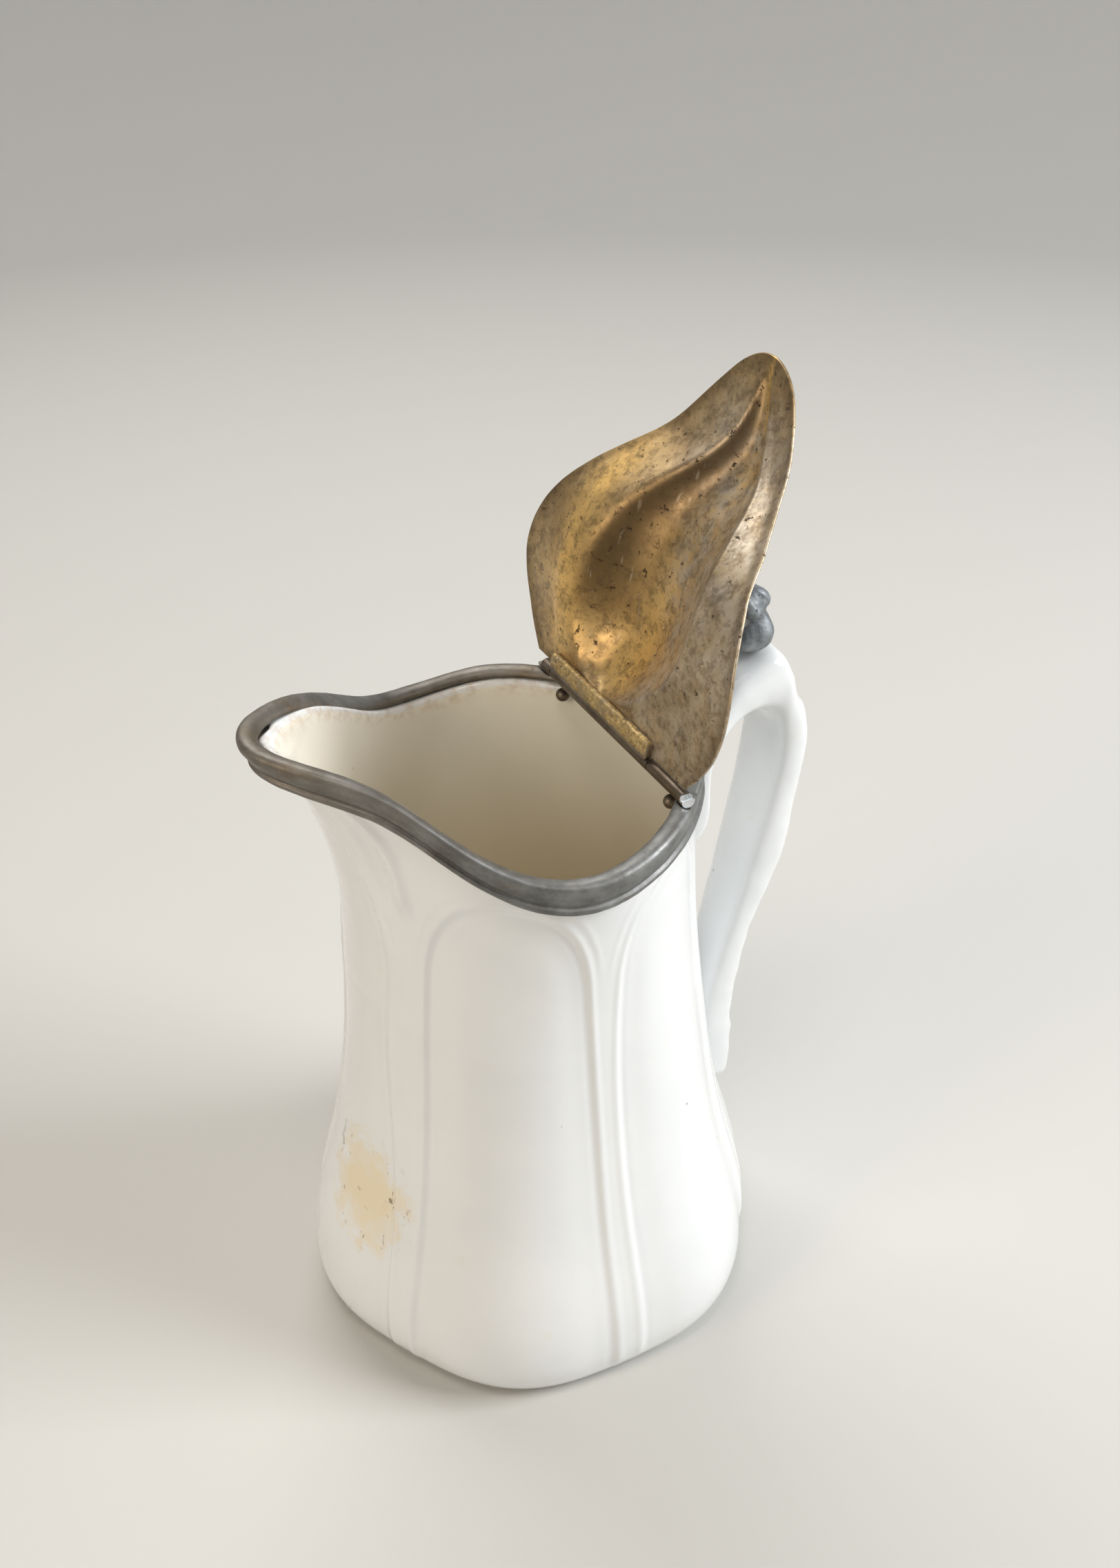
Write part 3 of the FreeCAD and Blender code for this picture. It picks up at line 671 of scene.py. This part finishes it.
# ---- pewter rim --------------------------------------------------------------
# Section of the rim: outward from the crest line, and up from the crest.
RIM_SECTION = ((1.75, -0.7), (1.8, -2.4), (1.35, -3.8), (1.25, -5.2), (0.9, -5.9),
               (1.9, -6.3), (1.9, -7.6), (0.7, -7.9), (0.2, -7.4), (0.2, -6.0),
               (0.2, -4.4), (0.2, -3.0), (-0.2, -2.1), (-1.4, -1.8), (-2.8, -2.2),
               (-3.3, -1.2), (-2.5, -0.2), (-1.2, 0.25), (0.6, 0.25))


RIM_STATIONS, RIM_ROWS, RIM_COLUMNS, RIM_SETBACK = 96, 720, 84, 0.07
SEAT_R, SEAT_END_Y = KNUCKLE_R + 0.3, 36.5     # room filed out for the hinge tube


def rim_piece():
    """Pewter rim with hammered unevenness, filed down under the hinge tube."""
    angle = 360.0 * np.arange(RIM_STATIONS) / RIM_STATIONS
    x, y, nx, ny = mouth_point(angle)
    z = crest_z(x)
    facing = (x * nx + y * ny) / np.hypot(x, y)
    poles = []
    for d, h in RIM_SECTION:
        below = min(0.0, h + SKIRT_LEAN_FROM)
        lean_out = SKIRT_LEAN * (outer_radius(angle, z + below) - outer_radius(angle, z))
        out = d + lean_out * facing
        poles.append(np.stack([x + out * nx, y + out * ny, crest_z(x + d * nx) + h], -1))
    poles = np.swapaxes(np.array(poles), 0, 1)
    rows = bspline_rows(poles, RIM_ROWS, True)
    points = np.swapaxes(bspline_rows(np.swapaxes(rows, 0, 1), RIM_COLUMNS, True), 0, 1)
    out = points - points.mean(1, keepdims=True)
    out /= np.linalg.norm(out, axis=2, keepdims=True)
    relief = 0.10 * grain(points, 7.0, 2, 1.0) + 0.05 * grain(points, 2.2, 2, 2.0)
    points = points + out * (relief - RIM_SETBACK)[..., None]
    near_pin = np.hypot(points[..., 0] - HINGE_X, points[..., 2] - HINGE_Z)
    dip = np.maximum(0.0, SEAT_R - near_pin) * (np.abs(points[..., 1]) < SEAT_END_Y)
    points[..., 2] = points[..., 2] - dip * 1.05
    rim = grid("pewter_rim", points, wrap_rows=True, flip=True)
    tip = smooth(-20.0, -60.0, points[..., 0])
    far = smooth(5.0, 35.0, points[..., 1]) * smooth(-30, 0, points[..., 0])
    mask(rim, "tan", np.clip(0.55 * tip + 0.55 * far, 0, 1) * 0.8)
    place(rim, JUG, "pewter", rim_pewter, "rim_mount")


# ---- lid ---------------------------------------------------------------------
# The bowl, at distances along X: its two edges in Y, its depth, and its shape across.
far_edge = spline(((-60, 0.5), (-56, 0.8), (-50, 1.8), (-44, 3.8), (-38, 7.6), (-32, 12.4), (-25, 17.4),
                   (-14, 21.6), (0, 24.4), (8, 24.2), (14, 21.0), (18, 15.0), (20.5, 8.0)))
near_edge = spline(((-60, -2.5), (-56, -4.0), (-50, -8.0), (-44, -12.0), (-38, -16.5), (-28, -22.0),
                    (-16, -26.0), (-8, -26.5), (-1, -24.0), (5, -19.5), (12, -10.5), (18, 1.0),
                    (20.5, 7.0)))
bowl_depth = spline(((-62, 0.0), (-57, 0.9), (-50, 2.9), (-42, 5.2), (-32, 8.2), (-22, 10.6), (-10, 12.0),
                     (0, 11.8), (7, 9.8), (13, 6.2), (18, 2.4), (21.5, 0.0)))
bowl_shape = spline(((-0.4, 0.0), (-0.12, 0.0), (-0.04, -0.016), (0.02, 0.05), (0.10, 0.26),
                     (0.22, 0.56), (0.36, 0.84), (0.48, 0.98), (0.60, 1.0), (0.72, 0.90), (0.82, 0.66),
                     (0.90, 0.36), (0.96, 0.12), (1.01, 0.0), (1.07, -0.04), (1.16, -0.03), (1.30, 0.0),
                     (1.5, 0.0)))
LID_CENTRE = (-9.0, 1.5)
LID_INSET, LID_EDGE_R, LID_THINNED = 0.35, 0.30, 0.15
EDGE_POINTS, BACK_POINTS = 420, 90
WORN_CORNER, WORN_SPREAD = 242.0, 22.0


def lean(x):
    """How far the lid leans to +Y at x."""
    return LID_SKEW * (LID_BACK_X - x)


def across(x, y):
    """Where a point lies across the bowl: 0 at its near edge, 1 at its far edge."""
    near, far = near_edge(x), far_edge(x)
    return (y - lean(x) - near) / np.maximum(far - near, 2.0)


def lid_outline(shrink):
    """Edge of the lid in plan, with square corners where the back is cut straight."""
    angle = np.linspace(-180.0, 180.0, 2881)
    forward = np.maximum(0.0, np.cos(np.radians(angle)))
    out = LID_OVERHANG + (LID_TIP_OVERHANG - LID_OVERHANG) * forward ** 12
    out = out + LID_SHIFT * np.sin(np.radians(angle))
    out = out - LID_CORNER_TUCK * hump(angle % 360.0 - WORN_CORNER, WORN_SPREAD) - shrink
    x, y = mouth_point(angle, out)[:2]
    y = y + lean(x)
    keep = x < LID_BACK_X - shrink
    curve = np.stack([x[keep], y[keep]], -1)
    step = np.concatenate([[0], np.cumsum(np.linalg.norm(np.diff(curve, axis=0), axis=1))])
    at = np.linspace(0, step[-1], EDGE_POINTS - BACK_POINTS)
    curve = np.stack([np.interp(at, step, curve[:, 0]), np.interp(at, step, curve[:, 1])], -1)
    back = np.linspace(0, 1, BACK_POINTS + 2)[1:-1, None]
    return np.concatenate([curve, curve[-1] + (curve[0] - curve[-1]) * back])


def lid_lift(x, y):
    """Height of the sheet's underside above its flange, when shut."""
    lift = bowl_depth(x) * bowl_shape(across(x, y))
    y = y - lean(x)
    far_bend = 0.32 * hump(y - 30.0 - 0.02 * x, 2.4) * smooth(-34.0, -12.0, x) * smooth(20.0, 8.0, x)
    near_bend = 0.35 * hump(y + 33.0 - 0.28 * (x + 10) * (x < -10), 3.5) * smooth(-44.0, -20.0, x)
    crease = 0.60 * hump(y - near_edge(x) + 0.4, 1.3) * smooth(-56.0, -44.0, x) * smooth(14.0, 4.0, x)
    return lift - far_bend - near_bend - crease


def sheet_z(x, y):
    """Underside of the lid's sheet, without dents, when shut."""
    return crest_z(x) + LID_CLEARANCE + lid_lift(x, y) + 0.30


def lid_masks(x, y):
    """Where the inside of the lid is golden patina with painted sheen and highlights, worn grey, and
    painted shade along the bowl's far wall and its near fold.
    """
    aside = y - lean(x)
    s = across(x, y)
    # Painted highlight along the bend from the flange into the bowl, and painted sheen in the bowl's
    # middle, on top of golden patina.
    far_bend_highlight = 0.85 * hump(aside - 28.0, 7.0)
    bowl_middle_sheen = 0.95 * hump(s - 0.50, 0.30) * smooth(-40, -5, x)
    gold_and_sheen = smooth(-52, -24, x) * (far_bend_highlight + bowl_middle_sheen) * smooth(26.0, 12.0, x)
    gold_and_sheen = gold_and_sheen + 0.8 * hump(s - 0.45, 0.28) * smooth(-16.0, -36.0, x)
    worn = smooth(7.0, -9.0, aside + 0.25 * x) * smooth(-60.0, -44.0, x)
    wall = smooth(1.03, 0.94, s) * smooth(0.52, 0.90, s) * smooth(-62.0, -50.0, x) * smooth(16.0, -10.0, x)
    fold = hump(aside - near_edge(x) - 1.3, 1.2) * smooth(-54.0, -40.0, x) * smooth(14.0, 4.0, x)
    return gold_and_sheen, worn, 0.95 * wall + 0.55 * fold


def lid_piece():
    """Lid sheet: underside from the middle out, rounded edge, and top back to the middle."""
    edge = lid_outline(LID_INSET)
    centre = np.array(LID_CENTRE)
    fractions = np.concatenate([[0.012], np.linspace(0.03, 0.93, 92), np.linspace(0.94, 1.0, 14)])
    plan_points = centre + (edge[None] - centre) * fractions[:, None, None]
    x, y = plan_points[..., 0], plan_points[..., 1]
    flat = np.stack([x, y, 0 * x], -1)
    dents = 0.30 * grain(flat, 15.0, 2, 3.0) + 0.07 * grain(flat, 4.5, 2, 5.0)
    turned_edge = 0.28 * smooth(0.93, 1.0, fractions)[:, None]
    under = sheet_z(x, y) + dents * 0.8 - turned_edge
    sheet = LID_SHEET - LID_THINNED
    rows = list(np.stack([x, y, under], -1))
    normal = edge - np.roll(edge, 1, 0)
    normal = np.stack([normal[:, 1], -normal[:, 0]], -1)
    normal = normal + np.roll(normal, -1, 0)
    normal /= np.linalg.norm(normal, axis=1, keepdims=True)
    if ((edge - centre) * normal).sum() < 0:
        normal = -normal
    edge_angles = (30, 60, 90, 120, 150)
    for k in edge_angles:
        a = math.radians(k)
        out = edge + normal * LID_EDGE_R * math.sin(a)
        z = under[-1] + sheet / 2 * (1 - math.cos(a))
        rows.append(np.concatenate([out, z[:, None]], -1))
    rows.extend(list(np.stack([x, y, under + sheet], -1))[::-1])
    points = np.array(rows)
    lid = grid("lid_sheet", opened(points), caps=(True, True))
    gold_and_sheen, worn, shade = lid_masks(points[..., 0], points[..., 1])
    shade[:len(fractions)] += smooth(0.90, 1.0, fractions)[:, None] * 0.45
    mask(lid, "gold_and_sheen", np.clip(gold_and_sheen, 0, 1))
    mask(lid, "worn", np.clip(worn, 0, 1))
    mask(lid, "shade", np.clip(shade, 0, 1))
    place(lid, LID, "lid_pewter", [lid_in, lid_out], "lid_shell")
    first_top = (len(fractions) + len(edge_angles) - 1) * len(edge)
    end = len(rows) * len(edge)
    second_material(lid, lambda face: first_top <= face.vertices[0] < end)


BAR_COLUMNS = 72


def bar(name, profile, y0, y1, seed, rough, material, count):
    """Strip of the lid along Y with the closed profile (x, z), ends rounded, surface roughened."""
    profile = np.array(profile, float)
    closed = np.concatenate([profile, profile[:1]])
    step = np.concatenate([[0], np.cumsum(np.linalg.norm(np.diff(closed, axis=0), axis=1))])
    at = np.linspace(0, step[-1], BAR_COLUMNS + 1)[:-1]
    ring = np.stack([np.interp(at, step, closed[:, 0]), np.interp(at, step, closed[:, 1])], -1)
    for _ in range(2):
        ring = 0.25 * np.roll(ring, 1, 0) + 0.5 * ring + 0.25 * np.roll(ring, -1, 0)
    middle = ring.mean(0)
    rows = []
    for y in np.linspace(y0, y1, count):
        end = min(y - y0, y1 - y)
        shrink = 1.0 - 0.22 * (1.0 - min(1.0, end / 0.6)) ** 2
        flat = middle + (ring - middle) * shrink
        rows.append(np.stack([flat[:, 0], 0 * flat[:, 0] + y, flat[:, 1]], -1))
    points = np.array(rows)
    out = points - points.mean(1, keepdims=True)
    out[..., 1] = 0
    out /= np.linalg.norm(out, axis=2, keepdims=True)
    relief = rough * grain(points, 1.6, 4, seed) + 0.6 * rough * grain(points, 5.0, 2, seed + 3)
    points = points + out * relief[..., None]
    piece = grid(name, opened(points), caps=(True, True), flip=True)
    return place(piece, LID, "gold_solder", material, "lid_leaf")


def leaf_pieces():
    """Strip under the lid's back edge, and the solder crust on its open face."""
    flange = float(crest_z(HINGE_X - 3.0)) + LID_CLEARANCE
    low = HINGE_Z - 2.2
    front = HINGE_X - 5.5
    strip = ((front, flange + 0.35), (front + 0.1, low + 0.35), (front + 0.5, low), (HINGE_X - 1.2, low),
             (HINGE_X - 1.75, low + 0.9), (HINGE_X - 1.8, flange + 0.35))
    bar("lid_leaf_strip", strip, LEAF_FROM + 0.1, LEAF_END - 0.1, 2.0, 0.05, leaf_pewter, 150)
    crust = ((front - 0.15, flange), (front - 0.25, low + 0.6), (front + 0.1, low - 0.05),
             (front + 2.4, low - 0.25), (HINGE_X - 2.1, low - 0.12), (HINGE_X - 1.9, low + 0.25),
             (front + 2.5, low + 0.4), (front + 0.6, low + 0.8))
    bar("lid_leaf_solder", crust, LEAF_FROM + 0.3, LEAF_END - 0.3, 7.0, 0.22, gold_solder, 240)


# ---- thumb piece -------------------------------------------------------------
# Distance along the axis and radius. The stalk's axis is up from the lid, the bud's leans back.
STALK = ((4.6, 6.3), (7.0, 6.0), (9.0, 5.2), (11.0, 4.2), (13.5, 3.1), (17.0, 2.6), (23.0, 3.1),
         (29.0, 3.9))
BUD = ((0.0, 0.8), (0.2, 3.2), (1.6, 5.1), (3.6, 6.0), (6.2, 5.8), (8.6, 4.6), (9.6, 4.0), (11.2, 4.6),
       (13.2, 4.5), (15.2, 3.4), (16.4, 1.8), (16.6, 0.6))
STALK_AT, STALK_AXIS = (HINGE_X - 27.0, 0, HINGE_Z), (0, 0, 1)
BUD_AT, BUD_AXIS = (HINGE_X - 19.6, 0, HINGE_Z + 33.5), (-0.965, 0, -0.264)
THUMB_COLUMNS, THUMB_ROWS, SEAT_ABOVE = 140, 120, 0.66


def turned(name, profile, origin, direction, relief, seat=False):
    """Turned piece of the lid, with relief(angle, along); seat keeps it above the lid's sheet."""
    profile = np.array(profile, float)
    poles = np.concatenate([profile[:1], profile, profile[-1:]])
    line = bspline_rows(poles, THUMB_ROWS, False)
    w = Vector(direction).normalized()
    u = Vector((0, 1, 0)).cross(w).normalized()
    v = w.cross(u)
    a = 2 * math.pi * np.arange(THUMB_COLUMNS) / THUMB_COLUMNS
    radius = np.maximum(line[:, 1:2] + relief(a[None, :], line[:, 0:1]), 0.05)
    out = np.cos(a)[:, None] * np.array(u) + np.sin(a)[:, None] * np.array(v)
    axis = np.array(origin) + line[:, :1] * np.array(w)
    points = axis[:, None] + radius[..., None] * out
    bumps = 0.16 * grain(points, 2.6, 3, 6.0) + 0.22 * grain(points, 5.5, 2, 9.0)
    points = points + out * bumps[..., None]
    if seat:
        lowest = sheet_z(points[..., 0], points[..., 1]) + SEAT_ABOVE
        points[..., 2] = np.maximum(points[..., 2], lowest)
    piece = grid(name, opened(points), caps=(True, True), flip=True)
    place(piece, LID, "cast_pewter", cast, "thumb_piece")


def thumb_pieces():
    def plain(angle, along):
        return 0.10 * np.cos(6 * angle) * smooth(18.0, 28.0, along)

    def bands(angle, along):
        twist = np.cos(3 * angle + along * 0.55)
        upper = smooth(8.6, 10.6, along) * smooth(17.2, 14.5, along)
        lower = smooth(0.4, 2.0, along) * smooth(9.5, 7.0, along)
        spiral = 0.50 * np.sign(twist) * np.abs(twist) ** 0.7
        return upper * spiral + lower * 0.25 * np.cos(5 * angle - along * 0.2)

    turned("thumb_stalk", STALK, STALK_AT, STALK_AXIS, plain, True)
    turned("thumb_bud", BUD, BUD_AT, BUD_AXIS, bands)


body_piece()
handle_piece()
rim_piece()
lid_piece()
leaf_pieces()
thumb_pieces()

KEPT_NODES = {"back_plate": plain_pewter, "knuckle_near": dark_pewter, "knuckle_far": dark_pewter,
              "end_plug_near": bright_cap, "end_plug_far": bright_cap, "hinge_pin": wire,
              "anchor_stud_near": dark_pewter, "anchor_stud_far": dark_pewter, "lid_knuckle": dark_pewter}
for node, material in KEPT_NODES.items():
    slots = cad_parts[node].data.materials
    slots.clear()
    slots.append(material)

# ---- floor, light and camera -------------------------------------------------
FLOOR_R, COVE_R, WALL_TOP, FLOOR_GAP = 1.7, 0.6, 1.3, 0.00002      # metres
FLOOR_COLOUR, WORLD_COLOUR, WORLD_STRENGTH = (0.56, 0.555, 0.53), (0.92, 0.94, 1.0, 1.0), 0.17


def plain_paint(name, colour):
    """Matt paint, very slightly clouded."""
    m = Nodes(name)
    darker = tuple(c * 0.985 for c in colour)
    m.surface(Base_Color=m.mix(m.noise(60.0, 2.0), darker, colour), Roughness=0.62)
    return m.mat


def backdrop():
    """Round floor that curves up into a wall all the way round the jug."""
    profile = [(0.02, 0.0), (0.4, 0.0), (FLOOR_R - COVE_R, 0.0)]
    profile += [(FLOOR_R - COVE_R + COVE_R * math.sin(a), COVE_R - COVE_R * math.cos(a))
                for a in np.linspace(0.08, math.pi / 2, 16)]
    profile += [(FLOOR_R, WALL_TOP)]
    a = np.radians(np.arange(0, 360, 4))
    rows = [np.stack([r * np.cos(a), r * np.sin(a), 0 * a + h - FLOOR_GAP], -1) for r, h in profile]
    obj = grid("floor", np.array(rows) / MM, caps=(True, False))
    obj.data.materials.append(plain_paint("floor_paint", FLOOR_COLOUR))


def softbox(name, place_at, aim, size, power, colour):
    """Rectangular area light, in metres and watts."""
    light = bpy.data.lights.new(name, "AREA")
    light.shape, light.size, light.size_y = "RECTANGLE", size[0], size[1]
    light.energy, light.color = power, colour
    obj = bpy.data.objects.new(name, light)
    obj.location = place_at
    obj.rotation_euler = (Vector(aim) - Vector(place_at)).to_track_quat("-Z", "Y").to_euler()
    bpy.context.scene.collection.objects.link(obj)


backdrop()
MIDDLE = (0.0, 0.0, 0.10)
softbox("window_key", (0.95, -0.60, 0.80), MIDDLE, (0.55, 0.70), 17.5, (0.97, 0.985, 1.0))
softbox("left_fill", (-1.0, -0.20, 0.60), MIDDLE, (0.38, 0.55), 4.2, (1.0, 0.84, 0.66))
softbox("mouth_fill", (-0.25, -0.35, 1.25), MIDDLE, (0.30, 0.30), 3.0, (1.0, 0.92, 0.80))
softbox("top_back", (0.1, 0.75, 1.10), MIDDLE, (0.9, 0.4), 8.5, (1.0, 0.98, 0.95))

world = bpy.data.worlds.new("studio")
bpy.context.scene.world = world
world.use_nodes = True
background = world.node_tree.nodes["Background"]
background.inputs["Color"].default_value = WORLD_COLOUR
background.inputs["Strength"].default_value = WORLD_STRENGTH

CAMERA_AT = (-0.1254, -0.2785, 0.3440)
PITCH, HEADING = 32.76, 25.9          # degrees: down, and right of +Y
ROLL = 0.014                          # radians
camera = bpy.data.cameras.new("camera")
camera.sensor_width, camera.lens = 36.0, 36.2
camera.shift_x, camera.shift_y = 0.0020, -0.0047
camera.clip_start, camera.clip_end = 0.01, 20.0
camera_obj = bpy.data.objects.new("camera", camera)
turn = Matrix.Rotation(math.radians(-HEADING), 4, "Z") @ Matrix.Rotation(math.radians(90.0 - PITCH), 4, "X")
camera_obj.matrix_world = Matrix.Translation(CAMERA_AT) @ turn @ Matrix.Rotation(-ROLL, 4, "Z")
bpy.context.scene.collection.objects.link(camera_obj)
bpy.context.scene.camera = camera_obj
bpy.context.scene.view_settings.view_transform = "Standard"
bpy.context.scene.view_settings.exposure = 0.0

bpy.context.view_layer.update()
